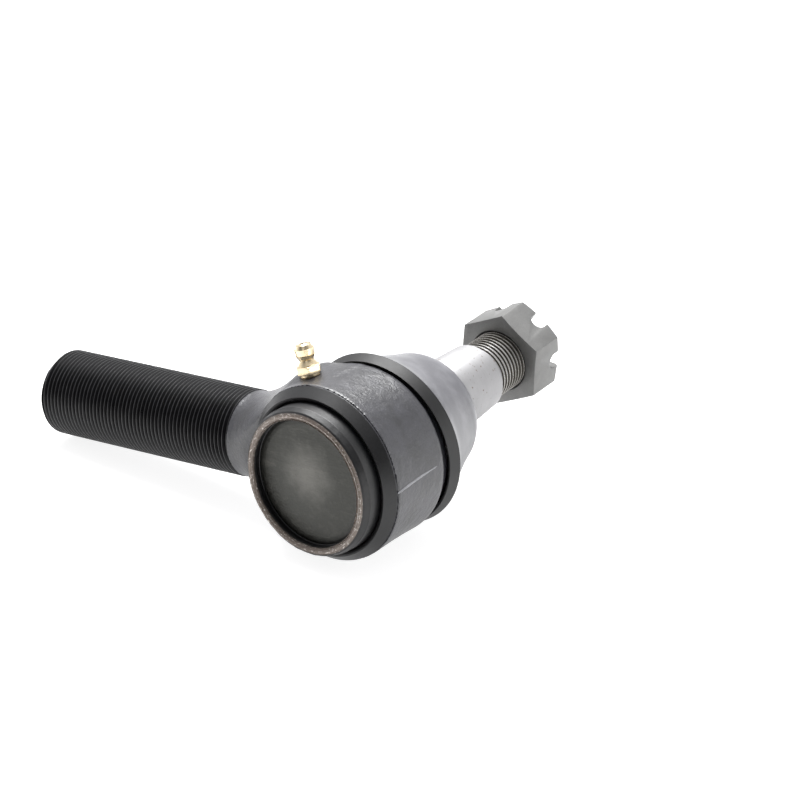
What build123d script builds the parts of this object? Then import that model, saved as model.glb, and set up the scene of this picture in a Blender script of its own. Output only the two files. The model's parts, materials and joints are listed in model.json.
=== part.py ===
from build123d import *
import math
import os

# Tie rod end, millimetres. The origin is the centre of the ball. +Z is up, the threaded shank runs
# along -X, and the socket's axis is Y: the ball stud leaves the socket towards +Y, the end cover
# closes it on the -Y side. Turned pieces are drawn as (radius, y) outlines in the XY plane and
# revolved about Y; the shank and its neck are drawn as (x, radius) and revolved about X.

# ---- driving dimensions -------------------------------------------------------------------------
INCH = 25.4

# ball stud: 7/8-14 thread, taper of one in eight on the diameter
BALL_R = 19.0
STUD_NECK_R = 10.2
STUD_THREAD_R = 0.875 * INCH / 2
STUD_PITCH = INCH / 14
TAPER_SLOPE = 1 / 16
TAPER_START_Y = 33.5
TAPER_END_Y = 71.0
TAPER_END_R = 12.6
STUD_END_Y = 99.0
COTTER_HOLE_Y = 89.6
COTTER_HOLE_R = 2.4

# the stud leans over at rest, turned about X and then about Z
REST_LEAN_X = 3.84
REST_LEAN_Z = 2.75

# threaded shank
SHANK_R = 1.25 * INCH / 2
SHANK_PITCH = INCH / 14
SHANK_END_X = -140.6
THREAD_START_X = -47.0
SHANK_CHAMFER = 1.0
THREAD_DEPTH_SHARE = 0.613
CREST_SHARE = 0.125
ROOT_SHARE = 0.25

# housing
BARREL_FRONT_R = 32.0
BARREL_R = 31.0
BARREL_FRONT_Y = -17.7
SHOULDER_Y = 6.0
COLLAR_R = 28.3
COLLAR_Y = 14.2
RELIEF_FLOOR_Y = 8.3
RELIEF_R = 37.0
NOSE_R = 26.9
LIP_Y = -29.2
LIP_OUTER_R = 25.6
LIP_INNER_R = 23.1

# socket bore and what it holds
BORE_R = 22.1
COVER_BORE_R = 24.3
COVER_SHOULDER_Y = -21.6
GASKET_T = 0.8
COVER_T = 2.6
COVER_CROWN = 0.8
THROAT_R = 18.8
THROAT_Y = 10.4
BALL_GAP = 0.15
RACE_FOOT_Y = -0.5
RACE_CYLINDER_Y = 4.0
RACE_TOP_Y = 9.4
SEAT_TOP_Y = -3.5
SEAT_FOOT_Y = -17.4
SEAT_SIDE_GAP = 0.08
DISC_SPRING_T = 1.5
DISC_SPRING_INNER_R = 10.0
DISC_SPRING_OUTER_R = 20.5

# dust boot and the ring moulded into its neck
BOOT_LIP_Y = 11.2
BOOT_LIP_R = 31.3
BOOT_EDGE_Y = 15.8
BOOT_EDGE_R = 32.4
BOOT_TOP_Y = 45.2
BOOT_RING_FOOT_Y = 38.8
BOOT_RING_TOP_Y = 42.6
BOOT_RING_INNER_R = 14.9
BOOT_RING_OUTER_R = 17.2

# slotted hexagon nut
NUT_FLATS = 1.25 * INCH
NUT_FOOT_Y = 86.5
NUT_HEIGHT = 16.0
NUT_BORE_R = STUD_THREAD_R + 0.05
NUT_MOUTH_R = 11.9
SLOT_WIDTH = 5.9
SLOT_DEPTH = 5.9
SLOTS = 6
NUT_TURN = 41.5

# grease fitting, screwed in square to the barrel
FITTING_X = -6.86
FITTING_Y = -6.5
FITTING_TILT = 10.5
FITTING_STEM_R = 3.1
FITTING_HOLE_R = 1.3
FITTING_FLATS = 5 / 16 * INCH
FITTING_FOOT = 30.75
FITTING_HEX_LOW = 31.5
FITTING_HEX_TOP = 34.6
FITTING_TOP = 42.2
FITTING_STEM_END = 22.2
FITTING_HOLE_START = 17.5
FITTING_SKIRT_R = 3.5
FITTING_WAIST_R = 2.45
FITTING_HEAD_R = 3.5
CHECK_BALL_R = 1.6
CHECK_CAGE_R = 1.9
CHECK_SPRING_WIRE_R = 0.2
CHECK_SPRING_R = 1.35
CHECK_SPRING_COILS = 5
CHECK_SPRING_FOOT = 31.2
CHECK_SPRING_PITCH = 1.0

LEAN = Rot(X=REST_LEAN_X) * Rot(Z=REST_LEAN_Z)


# ---- helpers ------------------------------------------------------------------------------------
def turned(*edges, axis=Axis.Y):
    """A solid of revolution from the edges of a closed half section."""
    outline = Curve() + list(edges)
    return revolve(make_face(outline.edges()), axis, 360)


def ring(inner_r, outer_r, low_y, high_y):
    """A plain ring about the socket's axis."""
    corners = [(inner_r, low_y), (outer_r, low_y), (outer_r, high_y), (inner_r, high_y)]
    return turned(Polyline(*corners, close=True))


def thread_outline(start, end, radius, pitch):
    """Points along a row of 60 degree thread grooves from start to end, as (place, radius)."""
    step = math.copysign(pitch, end - start)
    root = radius - THREAD_DEPTH_SHARE * pitch
    flank = (1 - CREST_SHARE - ROOT_SHARE) / 2
    points = []
    for turn in range(int(abs(end - start) / pitch)):
        crest = start + turn * step
        points.append((crest, radius))
        points.append((crest + CREST_SHARE * step, radius))
        points.append((crest + (CREST_SHARE + flank) * step, root))
        points.append((crest + (CREST_SHARE + flank + ROOT_SHARE) * step, root))
    points.append((points[-1][0] + flank * step, radius))
    return points


def taper_r(y):
    """The stud taper's radius at a height."""
    return TAPER_END_R + (TAPER_END_Y - y) * TAPER_SLOPE


def radial(shape):
    """Stands a piece drawn along +Y at the grease fitting's place, pointing out of the barrel."""
    return Pos(FITTING_X, FITTING_Y, 0) * Rot(Y=-FITTING_TILT) * Rot(X=90) * shape


# ---- housing ------------------------------------------------------------------------------------
def shank():
    """The threaded shank with its flared neck, before the socket's bore is cut."""
    thread = thread_outline(THREAD_START_X, SHANK_END_X + SHANK_CHAMFER, SHANK_R, SHANK_PITCH)
    last = thread[-1][0]
    neck_start = (THREAD_START_X + 1.6, SHANK_R - 0.3)
    neck_end = (-2.5, 30.85)
    edges = [
        Polyline(*thread),
        Polyline((last, SHANK_R), (SHANK_END_X + SHANK_CHAMFER, SHANK_R),
                 (SHANK_END_X, SHANK_R - SHANK_CHAMFER), (SHANK_END_X, 0), (neck_end[0], 0), neck_end),
        Spline(neck_end, (-7.0, 30.8), (-12.0, 30.3), (-18.0, 28.5), (-24.0, 25.4), (-29.9, 22.0), (-34.8, 19.1),
               (-38.4, 17.4), (-41.6, 16.35), neck_start),
        Polyline(neck_start, (THREAD_START_X + 0.6, neck_start[1]), (THREAD_START_X, SHANK_R)),
    ]
    return turned(*edges, axis=Axis.X)


def barrel():
    """The socket's outside: nose with its rolled lip, front face, barrel, shoulder and collar."""
    front_corner = (BARREL_FRONT_R, BARREL_FRONT_Y + 0.5)
    shoulder_top = (COLLAR_R, SHOULDER_Y + 4.0)
    return turned(
        Polyline((0, LIP_Y), (LIP_OUTER_R - 0.6, LIP_Y)),
        ThreePointArc((LIP_OUTER_R - 0.6, LIP_Y), (NOSE_R - 0.55, LIP_Y + 1.0), (NOSE_R - 0.1, LIP_Y + 2.6)),
        Line((NOSE_R - 0.1, LIP_Y + 2.6), (NOSE_R + 0.2, BARREL_FRONT_Y - 1.6)),
        ThreePointArc((NOSE_R + 0.2, BARREL_FRONT_Y - 1.6), (NOSE_R + 0.7, BARREL_FRONT_Y - 0.45),
                      (NOSE_R + 1.8, BARREL_FRONT_Y)),
        Polyline((NOSE_R + 1.8, BARREL_FRONT_Y), (BARREL_FRONT_R - 0.5, BARREL_FRONT_Y), front_corner),
        Polyline(front_corner, (BARREL_R + 0.5, BARREL_FRONT_Y + 4.0), (BARREL_R, SHOULDER_Y)),
        ThreePointArc((BARREL_R, SHOULDER_Y), (BARREL_R - 0.75, SHOULDER_Y + 2.9), shoulder_top),
        Polyline(shoulder_top, (COLLAR_R, COLLAR_Y - 1.0), (COLLAR_R - 1.0, COLLAR_Y), (0, COLLAR_Y), (0, LIP_Y)),
    )


def socket_bore():
    """What is cut out of the barrel: cover recess, bore, race seat and throat."""
    cover_face_y = COVER_SHOULDER_Y - GASKET_T - COVER_T
    return turned(
        Polyline(
            (0, LIP_Y - 1), (LIP_INNER_R + 0.3, LIP_Y - 1), (LIP_INNER_R + 0.3, LIP_Y + 0.4),
            (LIP_INNER_R - 0.4, cover_face_y - 0.05), (COVER_BORE_R, cover_face_y - 0.05),
            (COVER_BORE_R, COVER_SHOULDER_Y), (BORE_R, COVER_SHOULDER_Y), (BORE_R, RACE_CYLINDER_Y),
            (THROAT_R, THROAT_Y - 1.0), (THROAT_R, THROAT_Y), (THROAT_R + 1.9, COLLAR_Y + 1),
            (0, COLLAR_Y + 1), close=True,
        )
    )


def housing():
    """The forged socket and shank in one piece."""
    relief_top = RELIEF_FLOOR_Y + 24
    relief = turned(
        Polyline((0, RELIEF_FLOOR_Y), (RELIEF_R - 2.5, RELIEF_FLOOR_Y), (RELIEF_R - 0.7, RELIEF_FLOOR_Y + 0.9),
                 (RELIEF_R + 15.0, relief_top), (0, relief_top), close=True)
    )
    front_y = BARREL_FRONT_Y + 0.2
    front = turned(Polyline((0, front_y - 20), (2 * RELIEF_R, front_y - 20), (2 * RELIEF_R, front_y), (0, front_y),
                            close=True))
    body = barrel() + (shank() - relief - front)
    fitting_hole = Cylinder(FITTING_STEM_R, 20, align=(Align.CENTER, Align.CENTER, Align.MIN))
    return body - socket_bore() - radial(Rot(X=-90) * Pos(0, 0, FITTING_HOLE_START) * fitting_hole)


# ---- inside the socket --------------------------------------------------------------------------
def upper_race():
    """The hardened bearing that the ball pulls against."""
    inner = BALL_R + BALL_GAP
    foot_r = math.sqrt(inner**2 - RACE_FOOT_Y**2)
    top_r = math.sqrt(inner**2 - RACE_TOP_Y**2)
    mid_y = (RACE_FOOT_Y + RACE_TOP_Y) / 2
    outer = BORE_R - 0.02
    return turned(
        Polyline((foot_r, RACE_FOOT_Y), (outer, RACE_FOOT_Y), (outer, RACE_CYLINDER_Y),
                 (THROAT_R + 0.0, RACE_TOP_Y), (top_r, RACE_TOP_Y)),
        ThreePointArc((top_r, RACE_TOP_Y), (math.sqrt(inner**2 - mid_y**2), mid_y), (foot_r, RACE_FOOT_Y)),
    )


def lower_seat():
    """The sprung bearing that pushes the ball up, with a grease gap above it."""
    inner = BALL_R + BALL_GAP
    top_r = math.sqrt(inner**2 - SEAT_TOP_Y**2)
    foot_r = math.sqrt(inner**2 - SEAT_FOOT_Y**2)
    mid_y = -13.0
    outer = BORE_R - SEAT_SIDE_GAP
    return turned(
        Polyline((top_r, SEAT_TOP_Y), (outer, SEAT_TOP_Y), (outer, SEAT_FOOT_Y + 1.2),
                 (outer - 1.2, SEAT_FOOT_Y), (foot_r, SEAT_FOOT_Y)),
        ThreePointArc((foot_r, SEAT_FOOT_Y), (math.sqrt(inner**2 - mid_y**2), mid_y), (top_r, SEAT_TOP_Y)),
    )


def disc_spring():
    """The cone-shaped spring between the cover and the lower seat."""
    low = COVER_SHOULDER_Y - GASKET_T + 0.1
    high = SEAT_FOOT_Y - 0.9
    top = high - DISC_SPRING_T
    return turned(
        Polyline((DISC_SPRING_INNER_R, high), (DISC_SPRING_INNER_R, top),
                 (DISC_SPRING_OUTER_R, low), (DISC_SPRING_OUTER_R, low + DISC_SPRING_T), close=True)
    )


def end_cover():
    """The pressed cover that the rolled lip holds, slightly crowned outwards."""
    inner_y = COVER_SHOULDER_Y - GASKET_T
    face_y = inner_y - COVER_T
    edge_r = COVER_BORE_R - 0.05
    flat_r = LIP_INNER_R - 2.0
    crown_r = (flat_r**2 + COVER_CROWN**2) / (2 * COVER_CROWN)
    crown_y = face_y - COVER_CROWN
    mid_y = crown_y + crown_r - math.sqrt(crown_r**2 - flat_r**2 / 4)
    return turned(
        Polyline((0, inner_y), (edge_r, inner_y), (edge_r, face_y), (flat_r, face_y)),
        ThreePointArc((flat_r, face_y), (flat_r / 2, mid_y), (0, crown_y)),
        Line((0, crown_y), (0, inner_y)),
    )


def cover_gasket():
    """The flat sealing ring under the cover."""
    return ring(BORE_R + 0.3, COVER_BORE_R - 0.1, COVER_SHOULDER_Y - GASKET_T, COVER_SHOULDER_Y)


# ---- ball stud and nut --------------------------------------------------------------------------
def ball_stud():
    """Ball, neck, taper and thread in one forging, with the hole for the split pin."""
    foot_y = -BALL_R + 1.2
    foot_r = math.sqrt(BALL_R**2 - foot_y**2)
    neck_y = math.sqrt(BALL_R**2 - STUD_NECK_R**2)
    taper_start = (taper_r(TAPER_START_Y), TAPER_START_Y)
    thread_core = STUD_THREAD_R - THREAD_DEPTH_SHARE * STUD_PITCH
    thread = [(r, y) for y, r in thread_outline(TAPER_END_Y + 2.4, STUD_END_Y - 1.6, STUD_THREAD_R, STUD_PITCH)]
    stud = turned(
        Line((0, foot_y), (foot_r, foot_y)),
        ThreePointArc((foot_r, foot_y), (BALL_R, 0), (STUD_NECK_R, neck_y)),
        Polyline((STUD_NECK_R, neck_y), (STUD_NECK_R, 22.5)),
        Spline((STUD_NECK_R, 22.5), (12.4, 28.0), taper_start, tangents=((0, 1), (0, 1))),
        Polyline(taper_start, (TAPER_END_R, TAPER_END_Y), (thread_core, TAPER_END_Y + 1.0),
                 (thread_core, TAPER_END_Y + 1.8), thread[0]),
        Polyline(*thread),
        Polyline(thread[-1], (thread_core, STUD_END_Y), (0, STUD_END_Y), (0, foot_y)),
    )
    hole = Pos(0, COTTER_HOLE_Y, 0) * Rot(Y=NUT_TURN) * Cylinder(COTTER_HOLE_R, 4 * STUD_THREAD_R)
    return LEAN * (stud - hole)


def slotted_nut():
    """Hexagon nut with a slot through the middle of each flat, round at the bottom."""
    across = RegularPolygon(NUT_FLATS / 2, 6, major_radius=False)
    blank = Rot(X=-90) * extrude(across, NUT_HEIGHT)
    corner_r = NUT_FLATS / math.sqrt(3)
    face_r = NUT_FLATS / 2 - 0.4
    top_drop = (corner_r + 1 - face_r) * math.tan(math.radians(30))
    low_drop = 0.6
    envelope = turned(
        Polyline((0, 0), (face_r, 0), (corner_r + 1, low_drop), (corner_r + 1, NUT_HEIGHT - top_drop),
                 (face_r - 0.6, NUT_HEIGHT), (0, NUT_HEIGHT), close=True)
    )
    nut = blank & envelope
    nut -= turned(
        Polyline((0, -1), (NUT_MOUTH_R, -1), (NUT_MOUTH_R, 0.0), (NUT_BORE_R, 1.0),
                 (NUT_BORE_R, NUT_HEIGHT - 0.8), (NUT_BORE_R + 0.8, NUT_HEIGHT), (NUT_BORE_R + 0.8, NUT_HEIGHT + 1),
                 (0, NUT_HEIGHT + 1), close=True)
    )
    slot_round = SLOT_WIDTH / 2
    floor_y = NUT_HEIGHT - SLOT_DEPTH + slot_round
    slot = Pos(0, floor_y, 0) * Cylinder(slot_round, 30, align=(Align.CENTER, Align.CENTER, Align.MIN))
    slot += Pos(0, floor_y + 5, 15) * Box(SLOT_WIDTH, 10, 30)
    for turn in range(SLOTS):
        nut -= Rot(Y=turn * 360 / SLOTS) * slot
    return LEAN * Pos(0, NUT_FOOT_Y, 0) * Rot(Y=NUT_TURN) * nut


# ---- dust boot ----------------------------------------------------------------------------------
def dust_boot():
    """The rubber boot: a flared lip over the socket's collar and a dome up to the stud."""
    neck_hole_r = taper_r(BOOT_TOP_Y) + 0.35
    lip_inner = (BOOT_LIP_R - 1.1, BOOT_LIP_Y)
    ring_gap = 0.3
    pocket_r = BOOT_RING_OUTER_R + ring_gap
    pocket_top = BOOT_RING_TOP_Y + ring_gap
    boot = turned(
        Polyline((BOOT_LIP_R, BOOT_LIP_Y), (BOOT_EDGE_R, BOOT_EDGE_Y), (BOOT_EDGE_R - 1.2, BOOT_EDGE_Y + 0.8)),
        Spline((BOOT_EDGE_R - 1.2, BOOT_EDGE_Y + 0.8), (29.5, 20.0), (27.9, 24.0), (26.4, 28.0), (24.9, 32.0),
               (23.6, 36.0), (22.4, 39.8), (20.4, 43.0), (17.8, 44.7), (neck_hole_r + 0.6, BOOT_TOP_Y)),
        Polyline((neck_hole_r + 0.6, BOOT_TOP_Y), (neck_hole_r, BOOT_TOP_Y - 0.6), (neck_hole_r, pocket_top),
                 (pocket_r, pocket_top), (pocket_r, BOOT_RING_FOOT_Y - 0.2), (pocket_r + 1.5, BOOT_RING_FOOT_Y - 0.2)),
        Spline((pocket_r + 1.5, BOOT_RING_FOOT_Y - 0.2), (20.9, 36.6), (22.6, 32.0), (24.3, 27.0), (26.6, 20.5),
               (lip_inner[0] - 0.1, 15.0)),
        Polyline((lip_inner[0] - 0.1, 15.0), lip_inner, (BOOT_LIP_R, BOOT_LIP_Y)),
    )
    return LEAN * boot


def boot_ring():
    """The steel ring in the boot's neck, a running fit round the stud's taper."""
    return LEAN * ring(BOOT_RING_INNER_R, BOOT_RING_OUTER_R, BOOT_RING_FOOT_Y, BOOT_RING_TOP_Y)


# ---- grease fitting -----------------------------------------------------------------------------
def grease_fitting():
    """Hexagon, waist and rounded head over a stem, with a passage and a cage for the check ball."""
    hexagon = Rot(X=-90) * extrude(RegularPolygon(FITTING_FLATS / 2, 6, major_radius=False),
                                   FITTING_HEX_TOP - FITTING_HEX_LOW)
    hexagon = Pos(0, FITTING_HEX_LOW, 0) * hexagon
    dome_foot = FITTING_TOP - 2.0
    stem = turned(
        Polyline((0, FITTING_STEM_END), (FITTING_STEM_R - 0.02, FITTING_STEM_END),
                 (FITTING_STEM_R - 0.02, FITTING_FOOT), (FITTING_SKIRT_R, FITTING_FOOT + 0.4),
                 (FITTING_SKIRT_R, FITTING_HEX_TOP), (3.1, FITTING_HEX_TOP + 0.6),
                 (FITTING_WAIST_R, FITTING_HEX_TOP + 1.8), (FITTING_WAIST_R, FITTING_HEX_TOP + 2.4),
                 (FITTING_HEAD_R, FITTING_HEX_TOP + 3.7), (FITTING_HEAD_R, dome_foot)),
        ThreePointArc((FITTING_HEAD_R, dome_foot), (2.8, FITTING_TOP - 0.6), (1.3, FITTING_TOP)),
        Polyline((1.3, FITTING_TOP), (0, FITTING_TOP), (0, FITTING_STEM_END)),
    )
    seat_y = FITTING_TOP - 0.9
    passage = turned(
        Polyline((0, FITTING_STEM_END - 1), (FITTING_HOLE_R, FITTING_STEM_END - 1),
                 (FITTING_HOLE_R, CHECK_SPRING_FOOT - 0.3), (CHECK_CAGE_R, CHECK_SPRING_FOOT - 0.3),
                 (CHECK_CAGE_R, seat_y - 2.0), (0.9, seat_y), (0.9, FITTING_TOP + 1),
                 (0, FITTING_TOP + 1), close=True)
    )
    return radial(hexagon + stem - passage)


def check_ball_height():
    """Where the check ball's centre rests under its seat in the fitting's head."""
    return FITTING_TOP - 0.9 - 2.0


def check_ball():
    """The ball that closes the fitting's mouth."""
    return radial(Pos(0, check_ball_height() - 0.35, 0) * Sphere(CHECK_BALL_R))


def check_spring():
    """The small coil spring under the check ball."""
    path = Helix(CHECK_SPRING_PITCH, CHECK_SPRING_PITCH * CHECK_SPRING_COILS, CHECK_SPRING_R)
    section = Plane(origin=path @ 0, z_dir=path % 0) * Circle(CHECK_SPRING_WIRE_R)
    coil = sweep(section, path)
    return radial(Pos(0, CHECK_SPRING_FOOT, 0) * Rot(X=-90) * coil)


PARTS = {
    "housing": housing,
    "upper_race": upper_race,
    "lower_seat": lower_seat,
    "disc_spring": disc_spring,
    "end_cover": end_cover,
    "cover_gasket": cover_gasket,
    "ball_stud": ball_stud,
    "slotted_nut": slotted_nut,
    "dust_boot": dust_boot,
    "boot_ring": boot_ring,
    "grease_fitting": grease_fitting,
    "check_ball": check_ball,
    "check_spring": check_spring,
}

os.makedirs("parts", exist_ok=True)
for name, make in PARTS.items():
    export_step(make(), f"parts/{name}.step")
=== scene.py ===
"""A heavy tie rod end, dressed for the studio around its fixed engineering model.

Sizes are millimetres wherever a name says so or a dataclass holds them; meshes are written in metres.
The socket's axis is Y, the threaded shank runs along -X, and the origin is the centre of the ball.
"""

import json
import logging
import math
from dataclasses import dataclass, field
from enum import Enum
from typing import Any, Callable, Sequence

import bmesh
import bpy
from mathutils import Matrix, Vector


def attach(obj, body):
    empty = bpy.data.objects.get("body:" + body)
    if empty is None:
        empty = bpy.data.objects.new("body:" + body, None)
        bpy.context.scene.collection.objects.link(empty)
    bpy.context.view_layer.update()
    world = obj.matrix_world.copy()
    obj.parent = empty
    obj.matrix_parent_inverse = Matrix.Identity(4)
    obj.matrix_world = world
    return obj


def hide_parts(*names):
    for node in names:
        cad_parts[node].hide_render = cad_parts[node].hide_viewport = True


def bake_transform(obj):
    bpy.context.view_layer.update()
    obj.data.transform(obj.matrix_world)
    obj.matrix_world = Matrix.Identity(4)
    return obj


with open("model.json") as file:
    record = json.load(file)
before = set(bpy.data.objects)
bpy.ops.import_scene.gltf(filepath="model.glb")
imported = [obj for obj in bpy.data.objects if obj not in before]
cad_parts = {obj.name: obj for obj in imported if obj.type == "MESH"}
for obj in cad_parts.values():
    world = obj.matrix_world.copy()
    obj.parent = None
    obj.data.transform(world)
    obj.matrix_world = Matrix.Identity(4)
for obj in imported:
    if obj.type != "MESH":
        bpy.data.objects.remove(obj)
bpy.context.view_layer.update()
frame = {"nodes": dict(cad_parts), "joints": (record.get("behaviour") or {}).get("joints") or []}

LOG = logging.getLogger("tie_rod_end")
MM = 0.001
INCH = 25.4
TURN = 2 * math.pi
UP_Y = Vector((0, 1, 0))
SHARP_ANGLE = math.radians(32)

Outline = list[tuple[float, float]]


class Body(str, Enum):
    """The bodies of the engineering model that pieces ride on."""

    SOCKET = "socket"
    BOOT = "boot"
    BOOT_COLLAR = "boot_collar"
    STUD = "stud"
    NUT = "nut"


def joint_axis(name: str) -> Vector:
    """The direction of a joint of the engineering model, in the row frame."""
    return Vector(next(j["axis"] for j in frame["joints"] if j["name"] == name)).normalized()


def lean() -> Matrix:
    """The turn that leans a piece drawn along +Y over onto the stud's axis."""
    axis = joint_axis("stud_spin")
    about_z = -math.asin(axis.x)
    about_x = math.atan2(axis.z, axis.y)
    return Matrix.Rotation(about_x, 4, "X") @ Matrix.Rotation(about_z, 4, "Z")


# ---- node trees as expressions ------------------------------------------------------------------
class Num:
    """A number socket of a node tree that takes part in arithmetic."""

    def __init__(self, graph: "Graph", socket: bpy.types.NodeSocket) -> None:
        """Wraps a socket of that graph's tree."""
        self.graph = graph
        self.socket = socket

    def __add__(self, other: Any) -> "Num":
        """self + other."""
        return self.graph.math("ADD", self, other)

    __radd__ = __add__

    def __mul__(self, other: Any) -> "Num":
        """self * other."""
        return self.graph.math("MULTIPLY", self, other)

    __rmul__ = __mul__

    def __sub__(self, other: Any) -> "Num":
        """self - other."""
        return self.graph.math("SUBTRACT", self, other)

    def __rsub__(self, other: Any) -> "Num":
        """other - self."""
        return self.graph.math("SUBTRACT", other, self)

    def __truediv__(self, other: Any) -> "Num":
        """self / other."""
        return self.graph.math("DIVIDE", self, other)

    def __rtruediv__(self, other: Any) -> "Num":
        """other / self."""
        return self.graph.math("DIVIDE", other, self)

    def __neg__(self) -> "Num":
        """-self."""
        return self.graph.math("MULTIPLY", self, -1.0)


class Graph:
    """A node tree with one way to add a node, and the arithmetic of Num."""

    def __init__(self, tree: bpy.types.NodeTree) -> None:
        """Works on that tree."""
        self.tree = tree

    def node(self, kind: str, settings: dict[str, Any] | None = None,
             sockets: dict[Any, Any] | None = None) -> bpy.types.Node:
        """Adds a node.

        Args:
            kind: the node's type.
            settings: its properties, set first.
            sockets: values, links or nodes (for their first output) by input name or index.

        Returns:
            The new node.
        """
        made = self.tree.nodes.new(kind)
        for name, value in (settings or {}).items():
            setattr(made, name, value)
        for key, value in (sockets or {}).items():
            self.feed(made.inputs[key], value)
        return made

    def feed(self, socket: bpy.types.NodeSocket, value: Any) -> None:
        """Links a Num, a socket or a node's first output to a socket, or sets a plain value on it."""
        if isinstance(value, Num):
            value = value.socket
        elif isinstance(value, bpy.types.Node):
            value = value.outputs[0]
        if isinstance(value, bpy.types.NodeSocket):
            self.tree.links.new(value, socket)
        else:
            socket.default_value = value

    def math(self, operation: str, *values: Any) -> Num:
        """A Math node over values or Nums."""
        made = self.node("ShaderNodeMath", {"operation": operation}, dict(enumerate(values)))
        return Num(self, made.outputs[0])

    def clamp(self, value: Num) -> Num:
        """The value held between 0 and 1."""
        return self.math("MINIMUM", self.math("MAXIMUM", value, 0.0), 1.0)

    def step(self, value: Num, low: float, high: float) -> Num:
        """A smooth step from 0 at low to 1 at high, or falling where low is the larger."""
        made = self.node("ShaderNodeMapRange", {"interpolation_type": "SMOOTHSTEP"},
                         {"Value": value, "From Min": low, "From Max": high})
        return Num(self, made.outputs["Result"])

    def axes(self, vector: bpy.types.NodeSocket) -> tuple[Num, Num, Num]:
        """The three parts of a vector, in its own units."""
        parts = self.node("ShaderNodeSeparateXYZ", sockets={0: vector})
        return tuple(Num(self, parts.outputs[i]) for i in range(3))

    def vector(self, x: Any, y: Any, z: Any) -> bpy.types.NodeSocket:
        """A vector from three numbers."""
        return self.node("ShaderNodeCombineXYZ", sockets={0: x, 1: y, 2: z}).outputs[0]

    def noise(self, vector: Any, scale: float, detail: float = 4.0, roughness: float = 0.55) -> Num:
        """Noise from 0 to 1, with its scale in cells to the metre."""
        made = self.node("ShaderNodeTexNoise", {"noise_dimensions": "3D"},
                         {"Vector": vector, "Scale": scale, "Detail": detail, "Roughness": roughness})
        return Num(self, made.outputs["Fac"])


class Shade(Graph):
    """A material's tree, with a Principled shader and Object coordinates at hand."""

    def __init__(self, material: bpy.types.Material) -> None:
        """Clears the material's tree and adds its shader."""
        material.use_nodes = True
        material.node_tree.nodes.clear()
        super().__init__(material.node_tree)
        self.shader = self.node("ShaderNodeBsdfPrincipled")
        output = self.node("ShaderNodeOutputMaterial")
        self.feed(output.inputs["Surface"], self.shader)
        self.place = self.node("ShaderNodeTexCoord").outputs["Object"]

    def set(self, **values: Any) -> None:
        """Sets the shader's sockets, named with underscores for spaces."""
        for name, value in values.items():
            self.feed(self.shader.inputs[name.replace("_", " ")], value)

    def mix(self, factor: Any, low: Any, high: Any) -> bpy.types.NodeSocket:
        """A colour between two colours."""
        sockets = {0: factor, 6: opaque(low), 7: opaque(high)}
        return self.node("ShaderNodeMix", {"data_type": "RGBA"}, sockets).outputs[2]

    def stretched(self, turn: Vector | None, scale: tuple[float, float, float]) -> bpy.types.NodeSocket:
        """Object coordinates turned so that an axis lies on Y, then scaled, for streaks along it."""
        place = self.place
        if turn is not None:
            place = self.node("ShaderNodeMapping", {"vector_type": "POINT"},
                              {"Vector": place, "Rotation": turn.rotation_difference(UP_Y).to_euler()})
        scaled = self.node("ShaderNodeMapping", {"vector_type": "POINT"}, {"Vector": place, "Scale": scale})
        return scaled.outputs[0]

    def place_mm(self, turn: Vector | None = None) -> tuple[Num, Num, Num]:
        """The place in millimetres, turned first so that an axis lies on Y."""
        return self.axes(self.stretched(turn, (1 / MM, 1 / MM, 1 / MM)))

    def about(self, axis: Vector) -> tuple[Num, Num]:
        """Distance from an axis through the origin and place along it, in millimetres."""
        x, y, z = self.place_mm(axis)
        return self.math("SQRT", x * x + z * z), y

    def rolled(self, cells_round: float, cells_per_mm: float, detail: float = 4.0) -> Num:
        """Noise drawn out round Y, as a roller or a lathe leaves it."""
        x, y, z = self.place_mm()
        angle = self.math("ARCTAN2", z, x) * (cells_round / TURN)
        radius = self.math("SQRT", x * x + z * z) * cells_per_mm
        return self.noise(self.vector(angle, radius, y * cells_per_mm), 1.0, detail, 0.65)

    def bump(self, height: Num, depth_mm: float, below: bpy.types.NodeSocket | None = None) -> Any:
        """A bump of that depth, laid over another bump if one is given."""
        sockets = {"Height": height, "Distance": depth_mm * MM, "Strength": 1.0}
        if below is not None:
            sockets["Normal"] = below
        return self.node("ShaderNodeBump", sockets=sockets).outputs[0]


def opaque(colour: Any) -> Any:
    """An RGB colour with its alpha; a socket is passed through."""
    return (*colour, 1.0) if isinstance(colour, tuple) and len(colour) == 3 else colour


# ---- finishes -----------------------------------------------------------------------------------
@dataclass(frozen=True)
class Finish:
    """A named finish and the record's slot that it belongs to."""

    name: str
    slot: str

    def shade(self, g: Shade) -> None:
        """Builds the finish's nodes."""
        raise NotImplementedError

    def material(self) -> bpy.types.Material:
        """The finish as a material, made once."""
        found = bpy.data.materials.get(self.name)
        if found is None:
            found = bpy.data.materials.new(self.name)
            self.shade(Shade(found))
        return found


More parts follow.
